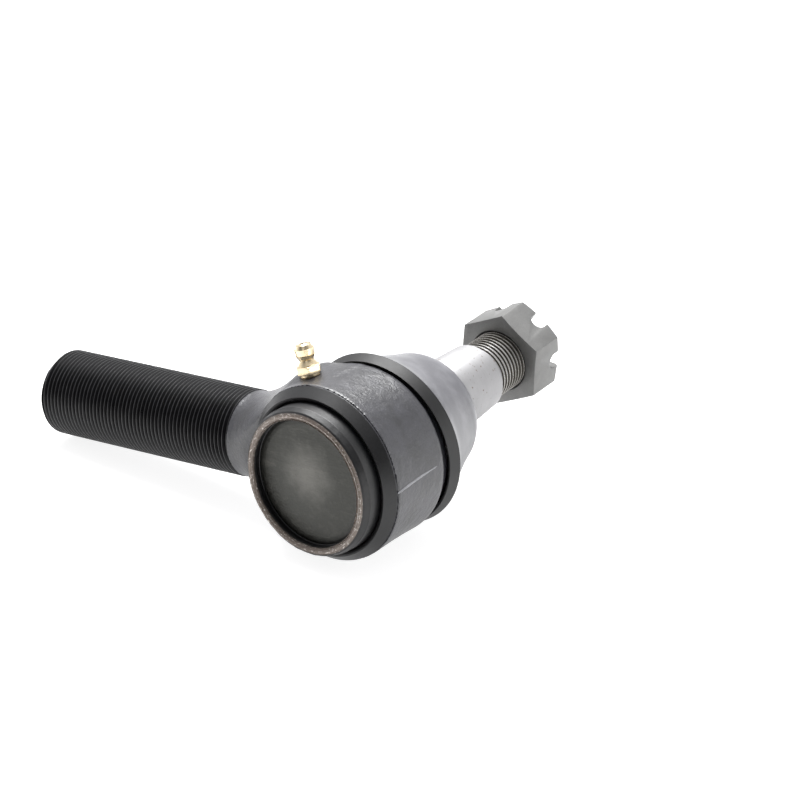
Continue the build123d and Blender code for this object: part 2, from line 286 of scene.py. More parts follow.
@dataclass(frozen=True)
class ForgingPaint(Finish):
    """Thin black paint over a shot-blasted forging, with bare metal where the lip was rolled."""

    rough: float = 0.40
    specular: float = 0.75
    face_y: float = -17.7
    lip_y: float = -29.2
    lip_outer_r: float = 25.5
    nick_r: float = 29.3

    def shade(self, g: Shade) -> None:
        """Paint, blasted grain, painted shade on the turned front face and nose, nicks on the front face and the
        scraped lip.
        """
        radius, along = g.about(UP_Y)
        patches = g.noise(g.place, 130, 3)
        grain = g.noise(g.place, 1150, 4, 0.62)
        lumps = g.noise(g.place, 420, 3, 0.5)
        paint = g.mix(g.step(patches, 0.3, 0.7), (0.012, 0.012, 0.0145), (0.027, 0.027, 0.033))
        paint = g.mix(g.step(grain, 0.58, 0.74) * 0.4, paint, (0.062, 0.062, 0.072))
        turned_and_painted_shade = g.step(along, self.face_y + 0.5, self.face_y - 0.1)
        # painted shade: the turned front face and nose are painted near black for the shade they sit in; the
        # same mask also smooths their bumps further down
        paint = g.mix(turned_and_painted_shade * 0.95, paint, (0.004, 0.004, 0.0045))
        streak = g.rolled(70, 1.32)
        ring = (g.step(radius, self.nick_r - 0.9, self.nick_r - 0.2)
                * g.step(radius, self.nick_r + 0.9, self.nick_r + 0.2))
        at_face = (g.step(along, self.face_y + 0.2, self.face_y)
                   * g.step(along, self.face_y - 1.5, self.face_y - 1.0))
        nicks = ring * at_face * g.step(streak, 0.545, 0.585) * 0.9
        lip = (g.step(along, self.lip_y + 1.5, self.lip_y + 0.8)
               * g.step(radius, self.lip_outer_r + 0.25, self.lip_outer_r - 0.1))
        scrape = g.rolled(120, 2.0, 5)
        glint = g.clamp(g.step(scrape, 0.57, 0.64) + nicks)
        bare = g.clamp(lip * g.step(scrape, 0.27, 0.40) * 0.95 + nicks)
        steel = g.mix(glint, (0.215, 0.180, 0.158), (0.78, 0.74, 0.69))
        rough = self.rough + 0.10 * (patches - 0.5) + 0.16 * (grain - 0.5) + 0.1 * bare
        g.set(Base_Color=g.mix(bare, paint, steel), Roughness=g.clamp(rough),
              Metallic=g.clamp(bare * (0.35 + 0.5 * glint) - 0.7 * nicks))
        soft = g.bump(lumps * (1.0 - turned_and_painted_shade), 0.24)
        low = g.bump(grain * (1.0 - 0.8 * turned_and_painted_shade), 0.11, soft)
        g.set(Specular_IOR_Level=self.specular)
        g.set(Normal=g.bump(scrape * lip, 0.12, low))


@dataclass(frozen=True)
class ThreadBlack(Finish):
    """Black-painted thread with its crests rubbed a little lighter."""

    crest_r: float = 15.875

    def shade(self, g: Shade) -> None:
        """Dark paint in the grooves, greyer crests."""
        x, y, z = g.place_mm()
        radius = g.math("SQRT", y * y + z * z)
        cloud = g.noise(g.place, 260, 3)
        rub = g.step(radius, self.crest_r - 0.22, self.crest_r - 0.02) * g.step(cloud, 0.25, 0.75)
        g.set(Base_Color=g.mix(rub, (0.004, 0.004, 0.005), (0.017, 0.017, 0.019)),
              Roughness=g.clamp(0.32 + 0.2 * (cloud - 0.5)), Metallic=0.0)
        g.set(Normal=g.bump(g.noise(g.place, 2600, 2), 0.012))


@dataclass(frozen=True)
class CoverPhosphate(Finish):
    """Olive-grey phosphate on the pressed cover, cloudy and finely pitted."""

    edge_r: float = 22.4
    pale_x: float = -0.6
    pale_z: float = 2.6
    pale_r: float = 14.0

    def shade(self, g: Shade) -> None:
        """A pale cloud off the middle, painted shade round the rim, rub marks and pits."""
        x, y, z = g.place_mm()
        radius = g.math("SQRT", x * x + z * z)
        off_x, off_z = x - self.pale_x, z - self.pale_z
        off = g.math("SQRT", off_x * off_x + off_z * off_z)
        pale = g.step(off + 9.0 * (g.noise(g.place, 150, 4, 0.65) - 0.5), self.pale_r, 1.0)
        mottle = g.noise(g.place, 420, 4, 0.65)
        smear = g.noise(g.stretched(None, (70, 70, 330)), 1.0, 4, 0.6)
        tone = g.mix(pale * 0.8, (0.030, 0.030, 0.0255), (0.135, 0.131, 0.119))
        tone = g.mix(g.step(mottle, 0.45, 0.75) * 0.25, tone, (0.10, 0.097, 0.087))
        tone = g.mix(g.step(smear, 0.56, 0.72) * 0.22, tone, (0.15, 0.142, 0.127))
        # painted shade: darker towards the rim, where the rolled lip shades the recess
        tone = g.mix(g.step(radius, self.edge_r - 2.6, self.edge_r) * 0.6, tone, (0.018, 0.018, 0.016))
        pits = g.step(g.noise(g.place, 1500, 3, 0.6), 0.62, 0.72)
        tone = g.mix(pits * 0.35, tone, (0.025, 0.024, 0.022))
        g.set(Base_Color=tone, Metallic=0.45, Roughness=g.clamp(0.42 + 0.25 * (mottle - 0.5)))
        g.set(Normal=g.bump(g.noise(g.place, 900, 4), 0.05, g.bump(smear, 0.25)))


@dataclass(frozen=True)
class BootRubber(Finish):
    """Moulded black rubber with a faint bloom, its dome painted lighter as a painted reflection."""

    edge_y: float = 16.1

    def shade(self, g: Shade) -> None:
        """Black on the lip; a silkier dome painted greyer as a painted reflection, with a bloom of lighter
        patches and a moulded grain.
        """
        _, along = g.about(joint_axis("stud_spin"))
        dome = g.step(along, self.edge_y - 0.2, self.edge_y + 0.2)
        bloom = g.noise(g.place, 110, 4, 0.6)
        grain = g.noise(g.place, 2300, 2)
        lip = g.mix(bloom, (0.005, 0.005, 0.005), (0.010, 0.010, 0.011))
        # the dome's grey is painted reflection of the bright surroundings, laid over the bloom's random patches
        bloom_and_painted_sheen = g.mix(g.step(bloom, 0.35, 0.75), (0.088, 0.088, 0.097), (0.145, 0.145, 0.156))
        g.set(Base_Color=g.mix(dome, lip, bloom_and_painted_sheen), Roughness=g.clamp(0.52 - 0.16 * dome + 0.14 * (bloom - 0.5)),
              Normal=g.bump(grain, 0.02))


@dataclass(frozen=True)
class GroundSteel(Finish):
    """Bright ground steel with turning marks, light haze and a few dark specks."""

    axis_joint: str = "stud_spin"
    low: tuple[float, float, float] = (0.24, 0.24, 0.245)
    high: tuple[float, float, float] = (0.40, 0.395, 0.40)
    rough: float = 0.55
    specks: float = 1.0

    def shade(self, g: Shade) -> None:
        """Fine rings about the axis, haze and specks."""
        axis = joint_axis(self.axis_joint)
        rings = g.noise(g.stretched(axis, (60, 5200, 60)), 1.0, 3, 0.6)
        haze = g.noise(g.place, 150, 3)
        speck = g.step(g.noise(g.place, 560, 4, 0.62), 0.63, 0.69) * self.specks
        tone = g.mix(g.clamp(0.55 * rings + 0.6 * haze - 0.1), self.low, self.high)
        g.set(Base_Color=g.mix(speck * 0.8, tone, (0.10, 0.055, 0.04)), Metallic=g.clamp(0.8 - 0.7 * speck),
              Roughness=g.clamp(self.rough + 0.16 * (rings - 0.5) + 0.2 * speck))
        g.set(Normal=g.bump(rings, 0.006))


@dataclass(frozen=True)
class DullSteel(Finish):
    """Phosphated or oiled steel: mottled grey with soft wear on what stands proud."""

    low: tuple[float, float, float] = (0.17, 0.17, 0.165)
    high: tuple[float, float, float] = (0.34, 0.34, 0.33)
    rough: float = 0.5
    metal: float = 0.7
    crest_joint: str = ""
    crest_r: float = 0.0

    def shade(self, g: Shade) -> None:
        """Crystal mottle, cloud, and bright crests where a crest radius is given."""
        cloud = g.noise(g.place, 190, 4)
        crystal = g.noise(g.place, 1900, 4, 0.65)
        tone = g.mix(g.clamp(0.6 * cloud + 0.7 * crystal - 0.15), self.low, self.high)
        rough: Any = self.rough + 0.22 * (crystal - 0.5)
        if self.crest_joint:
            radius, _ = g.about(joint_axis(self.crest_joint))
            crest = g.step(radius, self.crest_r - 0.20, self.crest_r - 0.03)
            tone = g.mix(crest, tone, (0.40, 0.385, 0.36))
            rough = rough - 0.15 * crest
        g.set(Base_Color=tone, Metallic=self.metal, Roughness=g.clamp(rough))
        g.set(Normal=g.bump(crystal, 0.016, g.bump(cloud, 0.05)))


@dataclass(frozen=True)
class YellowPlate(Finish):
    """Bright pale-gold plating on the grease fitting."""

    def shade(self, g: Shade) -> None:
        """Gold with a faint change of tint and small dull spots."""
        tint = g.noise(g.place, 420, 3)
        dull = g.step(g.noise(g.place, 1700, 3), 0.58, 0.70)
        tone = g.mix(tint, (0.76, 0.60, 0.37), (0.90, 0.79, 0.57))
        g.set(Base_Color=g.mix(dull * 0.3, tone, (0.36, 0.27, 0.15)), Metallic=1.0,
              Roughness=g.clamp(0.24 + 0.22 * dull + 0.08 * tint), Normal=g.bump(tint, 0.02))


@dataclass(frozen=True)
class GasketFibre(Finish):
    """Pressed fibre for the cover's flat gasket."""

    def shade(self, g: Shade) -> None:
        """Dark fibre with a short grain."""
        fibre = g.noise(g.stretched(None, (900, 300, 2400)), 1.0, 4, 0.6)
        g.set(Base_Color=g.mix(fibre, (0.03, 0.028, 0.025), (0.10, 0.09, 0.08)),
              Roughness=g.clamp(0.75 + 0.2 * (fibre - 0.5)), Normal=g.bump(fibre, 0.05))


FORGING = ForgingPaint("blasted_paint", "forging_paint")
NOSE = ForgingPaint("turned_nose_paint", "forging_paint", 0.42, 0.45)
# the die flash ridge is dressed light grey as a painted highlight along its crest
FLASH_PAINTED_HIGHLIGHT = DullSteel("flash_painted_highlight", "forging_paint", (0.15, 0.15, 0.16), (0.36, 0.36, 0.38), 0.45, 0.2)
THREAD = ThreadBlack("thread_black", "forging_paint")
COVER = CoverPhosphate("clouded_phosphate", "cover_phosphate")
RUBBER = BootRubber("moulded_rubber", "boot_rubber")
STUD = GroundSteel("ground_stud", "stud_steel")
STUD_THREAD = DullSteel("stud_thread", "stud_steel", (0.022, 0.020, 0.016), (0.060, 0.055, 0.045), 0.42, 0.6,
                        "stud_spin", INCH * 0.875 / 2)
NUT = DullSteel("mottled_phosphate", "nut_phosphate", (0.115, 0.115, 0.113), (0.225, 0.225, 0.22))
PLATE = YellowPlate("yellow_plate", "fitting_plate")
BEARING = GroundSteel("polished_steel", "bearing_steel",
                      low=(0.42, 0.42, 0.43), high=(0.62, 0.62, 0.63), specks=0.0)
SPRING = DullSteel("oiled_spring", "spring_steel", (0.10, 0.10, 0.105), (0.22, 0.22, 0.23), 0.4, 0.9)
GASKET = GasketFibre("pressed_fibre", "gasket_fibre")


# ---- meshes -------------------------------------------------------------------------------------
def rounded(corners: Sequence[tuple[float, ...]], closed: bool, steps: int = 6) -> Outline:
    """Rounds the corners of an outline.

    Args:
        corners: (radius, y) or (radius, y, rounding radius), in millimetres.
        closed: whether the last corner joins the first.
        steps: straight pieces in each rounding.

    Returns:
        The outline's points.
    """
    points: Outline = []
    count = len(corners)
    for i, corner in enumerate(corners):
        here = Vector(corner[:2])
        size = corner[2] if len(corner) > 2 else 0.0
        inner = closed or 0 < i < count - 1
        if not size or not inner:
            points.append((here.x, here.y))
            continue
        back = (Vector(corners[i - 1][:2]) - here).normalized()
        on = (Vector(corners[(i + 1) % count][:2]) - here).normalized()
        half = back.angle(on) / 2
        reach = size / math.tan(half)
        centre = here + (back + on).normalized() * (size / math.sin(half))
        start = here + back * reach - centre
        sweep = (here + on * reach - centre).angle_signed(start)
        for k in range(steps + 1):
            at = centre + Matrix.Rotation(-sweep * k / steps, 2) @ start
            points.append((at.x, at.y))
    return points


def arc(radius: float, start: float, end: float, steps: int) -> Outline:
    """Points on a circle about the origin, between two angles from the -Y pole, in degrees."""
    angles = [math.radians(start + (end - start) * k / steps) for k in range(steps + 1)]
    return [(radius * math.sin(a), -radius * math.cos(a)) for a in angles]


def curve_through(points: Sequence[tuple[float, float]], steps: int) -> Outline:
    """A smooth curve through the points, with that many pieces between neighbours."""
    padded = [Vector(p) for p in points]
    padded = [2 * padded[0] - padded[1], *padded, 2 * padded[-1] - padded[-2]]
    made: Outline = []
    for a, b, c, d in zip(padded, padded[1:], padded[2:], padded[3:]):
        for k in range(steps):
            t = k / steps
            at = 0.5 * (2 * b + (c - a) * t + (2 * a - 5 * b + 4 * c - d) * t * t
                        + (3 * b - a - 3 * c + d) * t**3)
            made.append((at.x, at.y))
    made.append((padded[-2].x, padded[-2].y))
    return made


def new_object(name: str, mesh: bpy.types.Mesh) -> bpy.types.Object:
    """An object at the origin, in the scene."""
    made = bpy.data.objects.new(name, mesh)
    bpy.context.scene.collection.objects.link(made)
    return made


def turned(name: str, outline: Outline, segments: int = 144, closed: bool = False,
           wobble: Callable[[float, float, float], tuple[float, float]] | None = None) -> bpy.types.Object:
    """Turns an outline about Y.

    Args:
        name: the object's name.
        outline: (radius, y) in millimetres; an open one starts and ends on the axis.
        segments: steps round the axis.
        closed: whether the outline is a closed ring section.
        wobble: moves a point, from (radius, y, angle) to a new (radius, y).

    Returns:
        The new object, its faces pointing outwards.
    """
    verts: list[tuple[float, float, float]] = []
    rows: list[list[int]] = []
    for radius, y in outline:
        row = []
        for k in range(1 if radius < 1e-6 else segments):
            angle = TURN * k / segments
            r, h = wobble(radius, y, angle) if wobble else (radius, y)
            row.append(len(verts))
            verts.append((r * math.cos(angle) * MM, h * MM, r * math.sin(angle) * MM))
        rows.append(row if len(row) > 1 else row * segments)
    faces = []
    pairs = list(zip(rows, rows[1:])) + ([(rows[-1], rows[0])] if closed else [])
    for low, high in pairs:
        for k in range(segments):
            m = (k + 1) % segments
            face = list(dict.fromkeys((low[k], low[m], high[m], high[k])))
            if len(face) > 2:
                faces.append(face)
    mesh = bpy.data.meshes.new(name)
    mesh.from_pydata(verts, [], faces)
    tidy(mesh)
    return new_object(name, mesh)


def tidy(mesh: bpy.types.Mesh) -> None:
    """Merges doubles, points faces outwards and shades smooth between sharp edges."""
    work = bmesh.new()
    work.from_mesh(mesh)
    bmesh.ops.remove_doubles(work, verts=work.verts, dist=1e-7)
    bmesh.ops.dissolve_degenerate(work, edges=work.edges, dist=1e-8)
    bmesh.ops.recalc_face_normals(work, faces=work.faces)
    work.to_mesh(mesh)
    work.free()
    mesh.shade_smooth()
    mesh.set_sharp_from_angle(angle=SHARP_ANGLE)


def settle(obj: bpy.types.Object) -> bpy.types.Object:
    """Turns an object's modifiers into a plain mesh."""
    graph = bpy.context.evaluated_depsgraph_get()
    mesh = bpy.data.meshes.new_from_object(obj.evaluated_get(graph))
    obj.modifiers.clear()
    obj.data = mesh
    tidy(mesh)
    return obj


def joined(name: str, pieces: Sequence[bpy.types.Object]) -> bpy.types.Object:
    """One object from the meshes of several, which are removed."""
    work = bmesh.new()
    for piece in pieces:
        work.from_mesh(piece.data)
        bpy.data.objects.remove(piece)
    mesh = bpy.data.meshes.new(name)
    work.to_mesh(mesh)
    work.free()
    mesh.shade_smooth()
    mesh.set_sharp_from_angle(angle=SHARP_ANGLE)
    return new_object(name, mesh)


def cut(obj: bpy.types.Object, tool: bpy.types.Object, operation: str) -> bpy.types.Object:
    """Applies a Boolean of a tool, which is then removed."""
    modifier = obj.modifiers.new("cut", "BOOLEAN")
    modifier.operation = operation
    modifier.solver = "EXACT"
    modifier.object = tool
    settle(obj)
    bpy.data.objects.remove(tool)
    return obj


def softened(obj: bpy.types.Object, width_mm: float) -> bpy.types.Object:
    """Breaks an object's sharp edges with a small round."""
    modifier = obj.modifiers.new("edge", "BEVEL")
    modifier.width = width_mm * MM
    modifier.segments = 2
    modifier.limit_method = "ANGLE"
    modifier.angle_limit = SHARP_ANGLE
    return settle(obj)


def prism(name: str, across_flats: float, low_y: float, high_y: float, turn: float) -> bpy.types.Object:
    """A hexagonal bar about Y, turned by an angle in degrees."""
    corner = across_flats / math.sqrt(3)
    ring = []
    for k in range(6):
        angle = math.radians(60 * k + 30 + turn)
        ring.append((corner * math.sin(angle) * MM, corner * math.cos(angle) * MM))
    verts = [(x, y * MM, z) for y in (low_y, high_y) for x, z in ring]
    faces = [[k, (k + 1) % 6, (k + 1) % 6 + 6, k + 6] for k in range(6)]
    mesh = bpy.data.meshes.new(name)
    mesh.from_pydata(verts, [], faces + [list(range(6)), list(range(6, 12))])
    tidy(mesh)
    return new_object(name, mesh)


def place(obj: bpy.types.Object, matrix: Matrix) -> bpy.types.Object:
    """Moves an object's mesh, leaving the object at the origin."""
    obj.data.transform(matrix)
    return obj


def finish_piece(obj: bpy.types.Object, finish: Finish, body: Body | None, nodes: Sequence[str] = ()) -> None:
    """Dresses a piece and ties it to the engineering model.

    Args:
        obj: the piece, its mesh in place.
        finish: what it is dressed in.
        body: the body it rides on, or None, where it is tied to no body.
        nodes: the CAD nodes that it stands for.
    """
    obj.data.materials.clear()
    obj.data.materials.append(finish.material())
    if body is not None:
        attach(obj, body.value)
    if nodes:
        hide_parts(*nodes)
    LOG.info("%s: %d faces in %s", obj.name, len(obj.data.polygons), finish.name)


# ---- geometry nodes -----------------------------------------------------------------------------
class Recipe(Graph):
    """A Geometry Nodes tree with named inputs, run on an object and settled into a plain mesh."""

    KINDS = {float: "NodeSocketFloat", int: "NodeSocketInt", Vector: "NodeSocketVector",
             bpy.types.Material: "NodeSocketMaterial"}

    def __init__(self, name: str, inputs: dict[str, Any]) -> None:
        """Starts the tree.

        Args:
            name: the tree's name.
            inputs: value by input name; its type gives the socket's.
        """
        super().__init__(bpy.data.node_groups.new(name, "GeometryNodeTree"))
        face = self.tree.interface
        face.new_socket("Geometry", in_out="INPUT", socket_type="NodeSocketGeometry")
        face.new_socket("Geometry", in_out="OUTPUT", socket_type="NodeSocketGeometry")
        self.values = {}
        for label, value in inputs.items():
            made = face.new_socket(label, in_out="INPUT", socket_type=self.KINDS[type(value)])
            self.values[made.identifier] = value
        self.entry = self.node("NodeGroupInput")
        self.exit = self.node("NodeGroupOutput")

    def given(self, label: str) -> Num:
        """A named input as a number."""
        return Num(self, self.entry.outputs[label])

    @property
    def position(self) -> bpy.types.NodeSocket:
        """Each point's place."""
        return self.node("GeometryNodeInputPosition").outputs[0]

    @property
    def along(self) -> Num:
        """The share of a curve's length, from 0 to 1."""
        return Num(self, self.node("GeometryNodeSplineParameter").outputs["Factor"])

    def strip(self, path: bpy.types.Node, corners: Sequence[tuple[Any, Any]], scale: Num) -> bpy.types.Node:
        """Sweeps a four-sided section along a curve.

        Args:
            path: the node that makes the curve.
            corners: the section's corners, as (outwards, sideways).
            scale: the section's size along the curve.

        Returns:
            The node that makes the closed strip.
        """
        upright = self.node("GeometryNodeSetCurveNormal", {"mode": "Z_UP"}, {"Curve": path})
        points = {f"Point {k}": self.vector(x, y, 0.0) for k, (x, y) in enumerate(corners, 1)}
        section = self.node("GeometryNodeCurvePrimitiveQuadrilateral", {"mode": "POINTS"}, points)
        return self.node("GeometryNodeCurveToMesh", sockets={
            "Curve": upright, "Profile Curve": section, "Scale": scale, "Fill Caps": True})

    def close(self, geometry: bpy.types.Node) -> None:
        """Ends the tree in Realize Instances and Set Material."""
        real = self.node("GeometryNodeRealizeInstances", sockets={0: geometry})
        self.feed(self.exit.inputs[0], self.node("GeometryNodeSetMaterial", sockets={
            "Geometry": real, "Material": self.entry.outputs["Material"]}))

    def run(self, obj: bpy.types.Object) -> bpy.types.Object:
        """Runs the tree on an object and settles it."""
        modifier = obj.modifiers.new(self.tree.name, "NODES")
        modifier.node_group = self.tree
        for identifier, value in self.values.items():
            modifier[identifier] = value
        return settle(obj)


def blank(name: str) -> bpy.types.Object:
    """An empty mesh object for a recipe to fill."""
    return new_object(name, bpy.data.meshes.new(name))


@dataclass
class ThreadRidge:
    """The helical ridge of a right-hand 60 degree thread about +Y."""

    crest_r: float
    pitch: float
    start_y: float
    end_y: float
    finish: Finish
    depth_share: float = 0.613
    crest_share: float = 0.125
    base_share: float = 0.78
    run_out_turns: float = 0.7
    end_turns: float = 0.7
    chamfer_y: float = 0.0
    steps_per_turn: int = 72
    bury: float = 0.03

    @property
    def root_r(self) -> float:
        """The radius of the thread's core."""
        return self.crest_r - self.depth_share * self.pitch

    def build(self, name: str) -> bpy.types.Object:
        """Sweeps the ridge's section along a helix that fades out at both ends."""
        length = self.end_y - self.start_y
        turns = length / self.pitch
        g = Recipe("thread_ridge", {
            "Turns": turns,
            "Length": length * MM,
            "Root radius": self.root_r * MM,
            "Depth": self.depth_share * self.pitch * MM,
            "Half base": self.base_share * self.pitch * MM / 2,
            "Half crest": self.crest_share * self.pitch * MM / 2,
            "Steps per turn": self.steps_per_turn,
            "Run out": self.run_out_turns,
            "End run out": self.end_turns,
            "Chamfer from": (self.chamfer_y or self.end_y + self.pitch) * MM,
            "Start": self.start_y * MM,
            "Crest radius": self.crest_r * MM,
            "Material": self.finish.material(),
        })
        root = g.given("Root radius")
        helix = g.node("GeometryNodeCurveSpiral", sockets={
            "Resolution": g.given("Steps per turn"), "Rotations": g.given("Turns"), "Start Radius": root,
            "End Radius": root, "Height": g.given("Length"), "Reverse": True})
        foot, crest = -self.bury * MM, g.given("Depth")
        base, top = g.given("Half base"), g.given("Half crest")
        along, turns_in = g.along, g.given("Turns")
        from_end = g.math("MINIMUM", along * turns_in / g.given("Run out"),
                          (1.0 - along) * turns_in / g.given("End run out"))
        ridge = g.strip(helix, [(foot, -base), (foot, base), (crest, top), (crest, -top)],
                        g.math("MAXIMUM", g.clamp(from_end), 0.02))
        x, y, z = g.axes(g.position)
        radius = g.math("SQRT", x * x + y * y)
        past = g.math("MAXIMUM", z + g.given("Start") - g.given("Chamfer from"), 0.0)
        share = g.math("MINIMUM", (g.given("Crest radius") - past) / radius, 1.0)
        g.close(g.node("GeometryNodeSetPosition", sockets={
            "Geometry": ridge, "Position": g.vector(x * share, y * share, z)}))
        start = Matrix.Translation((0, self.start_y * MM, 0))
        return place(g.run(blank(name)), start @ Matrix.Rotation(-math.pi / 2, 4, "X"))


# ---- the socket ---------------------------------------------------------------------------------
@dataclass
class Socket:
    """The forged socket with its rolled lip and threaded shank."""

    front_y: float = -17.7
    front_r: float = 32.0
    barrel_r: float = 31.0
    shoulder_y: float = 6.0
    top_y: float = 10.1
    collar_r: float = 28.3
    collar_y: float = 14.2
    bore_r: float = 22.1
    throat_r: float = 18.8
    race_y: float = 4.0
    throat_y: float = 10.4
    wrap_y: float = -14.6
    neck_r: float = 15.57
    neck_x: float = -46.0
    neck_flare: float = 0.0747
    neck_power: float = 1.6
    neck_top_r: float = 30.7
    neck_inner_x: float = -3.0
    neck_front_y: float = -16.9
    relief_y: float = 8.3
    relief_r: float = 34.5
    blend: float = 4.0
    voxel: float = 0.5
    unevenness: float = 0.16
    shank_r: float = 1.25 * INCH / 2
    shank_pitch: float = INCH / 14
    shank_end: float = 140.6
    thread_start: float = 46.6
    flash_width: float = 0.9
    flash_height: float = 0.46

    def barrel_radius(self, y: float) -> float:
        """The barrel's radius, which flares a little towards its front face."""
        reach = (self.shoulder_y - y) / (self.shoulder_y - self.front_y)
        return self.barrel_r + (self.front_r - self.barrel_r) * max(reach, 0.0) ** 2

    def forging(self) -> bpy.types.Object:
        """Barrel and neck, blended into each other as a forging's are, with the bore through them."""
        low = Vector((self.neck_x - 1.5, self.front_y + 0.4, -self.front_r - 1.0))
        high = Vector((self.front_r + 1.0, self.relief_y + 10.0, self.front_r + 1.0))
        size = high - low
        g = Recipe("blended_forging", {
            "Low corner": low * MM,
            "High corner": high * MM,
            "Cells X": round(size.x / self.voxel),
            "Cells Y": round(size.y / self.voxel),
            "Cells Z": round(size.z / self.voxel),
            "Blend": self.blend,
            "Unevenness": self.unevenness,
            "Material": FORGING.material(),
        })
        where = g.position
        scaled = g.node("ShaderNodeVectorMath", {"operation": "SCALE"}, {0: where, "Scale": 1 / MM})
        x, y, z = g.axes(scaled)
        inside = self.negative_inside(g, x, y, z)
        uneven = g.noise(where, 95, 2) - 0.5
        fade = g.step(y, self.wrap_y + 0.5, self.wrap_y + 4.0)
        density = -(inside + uneven * fade * g.given("Unevenness") * 2)
        cube = g.node("GeometryNodeVolumeCube", sockets={
            "Density": density, "Background": -4.0, "Min": g.entry.outputs["Low corner"],
            "Max": g.entry.outputs["High corner"], "Resolution X": g.given("Cells X"),
            "Resolution Y": g.given("Cells Y"), "Resolution Z": g.given("Cells Z")})
        g.close(g.node("GeometryNodeVolumeToMesh", sockets={"Volume": cube, "Threshold": 0.0}))
        return g.run(blank("socket_forging"))

    def negative_inside(self, g: Recipe, x: Num, y: Num, z: Num) -> Num:
        """The forging as a distance in millimetres, negative inside.

        Args:
            g: the tree.
            x, y, z: the place.

        Returns:
            The distance.
        """
        radius = g.math("SQRT", x * x + z * z)
        reach = g.math("MAXIMUM", (self.shoulder_y - y) / (self.shoulder_y - self.front_y), 0.0)
        side = radius - (self.barrel_r + (self.front_r - self.barrel_r) * reach * reach)
        drum = g.math("SMOOTH_MAX", side, y - self.top_y, 4.0)
        collar = g.math("SMOOTH_MAX", radius - self.collar_r, y - self.collar_y, 1.0)
        barrel = g.math("SMOOTH_MIN", drum, collar, 1.2)
        off_axis = g.math("SQRT", y * y + z * z)
        along = g.math("MAXIMUM", x - self.neck_x, 0.0)
        flare = self.neck_r + self.neck_flare * g.math("POWER", along, self.neck_power)
        neck_side = off_axis - g.math("SMOOTH_MIN", flare, self.neck_top_r, 4.0)
        neck = g.math("MAXIMUM", neck_side, x - self.neck_inner_x)
        relief_side = radius - (self.relief_r + 0.66 * (y - self.relief_y))
        relief = g.math("MAXIMUM", self.relief_y - y, relief_side * 0.83)
        neck = g.math("SMOOTH_MAX", neck, -relief, 1.5)
        neck = g.math("SMOOTH_MAX", neck, self.neck_front_y - y, 2.0)
        solid = g.math("SMOOTH_MIN", barrel, neck, g.given("Blend"))
        bore = g.math("MAXIMUM", radius - self.bore_r, y - self.race_y)
        throat = radius - (self.throat_r + 0.5 * g.math("MAXIMUM", y - self.throat_y, 0.0))
        solid = g.math("MAXIMUM", solid, -g.math("MINIMUM", bore, throat))
        return g.math("MAXIMUM", solid, self.front_y + 0.9 - y)

    def nose(self) -> bpy.types.Object:
        """The turned nose: front face, step, and the lip rolled over the cover, left uneven."""
        corners = [
            (self.bore_r, -16.0), (self.bore_r, -21.6), (24.3, -21.6), (24.3, -25.05), (22.7, -25.05, 0.3),
            (22.95, -27.4, 1.5), (23.35, -29.15, 0.45), (25.1, -29.2, 0.8), (26.45, -27.7, 1.6),
            (26.95, -25.5, 1.5), (27.15, self.front_y, 1.9), (self.front_r, self.front_y, 0.3),
            (self.barrel_radius(self.wrap_y) + 0.01, self.wrap_y), (self.barrel_r, self.wrap_y - 0.2),
            (30.6, -16.0),
        ]

        def worked(radius: float, y: float, angle: float) -> tuple[float, float]:
            """Leaves the rolled lip's inner edge and crown as the roller left them."""
            if y > -26.5 or radius > 26.2:
                return radius, y
            waves = math.sin(9 * angle + 1.0) + 0.7 * math.sin(23 * angle) + 0.6 * math.sin(41 * angle + 2.0)
            chatter = 0.5 * math.sin(97 * angle) + 0.4 * math.sin(61 * angle + 0.5)
            inwards = 0.035 * abs(waves * math.sin(3 * angle)) + 0.02 * abs(chatter)
            return radius + 0.05 * waves + 0.03 * chatter, y + inwards

        return turned("socket_nose", rounded(corners, True), 288, True, worked)

    def flash_line(self) -> bpy.types.Object:
        """The thin ridge that the forging dies left along the barrel, uneven and fading at its ends, painted
        light grey as a painted highlight.
        """
        g = Recipe("die_flash", {
            "Start": Vector((self.barrel_radius(-17.2) - 0.1, -17.2, -1.2)) * MM,
            "Middle": Vector((self.barrel_radius(-6.0) - 0.1, -6.0, -0.2)) * MM,
            "End": Vector((self.barrel_r - 0.35, self.shoulder_y + 1.0, 0.4)) * MM,
            "Width": self.flash_width * MM / 2,
            "Height": self.flash_height * MM,
            # painted highlight: the ridge is dressed light grey
            "Material": FLASH_PAINTED_HIGHLIGHT.material(),
        })
        path = g.node("GeometryNodeCurveQuadraticBezier", sockets={
            "Resolution": 72, "Start": g.entry.outputs["Start"], "Middle": g.entry.outputs["Middle"],
            "End": g.entry.outputs["End"]})
        width, height, along = g.given("Width"), g.given("Height"), g.along
        ends = g.clamp(g.math("MINIMUM", along + 0.05, 1.0 - along) * 9.0)
        thickness = g.math("MAXIMUM", ends * (0.6 + 0.8 * g.noise(g.position, 420, 3)), 0.05)
        g.close(g.strip(path, [(-height, 0.0), (0.0, width), (height, 0.0), (0.0, -width)], thickness))
        return g.run(blank("socket_die_flash"))

    def shank(self) -> bpy.types.Object:
        """The threaded shank: a core with its chamfered end and the ridge wound round it."""
        ridge = ThreadRidge(self.shank_r, self.shank_pitch, self.thread_start, self.shank_end - 0.25,
                            THREAD, end_turns=0.3, chamfer_y=self.shank_end - 1.0)
        root = ridge.root_r
        core = turned("shank_core", rounded([
            (0, self.thread_start - 1.6), (self.neck_r - 0.9, self.thread_start - 1.6),
            (root, self.thread_start + 1.2), (root + 0.05, self.shank_end - 0.9),
            (root - 0.3, self.shank_end, 0.3), (0, self.shank_end)], False))
        made = joined("socket_shank_thread", [core, ridge.build("shank_ridge")])
        return place(made, Matrix.Rotation(math.pi / 2, 4, "Z"))

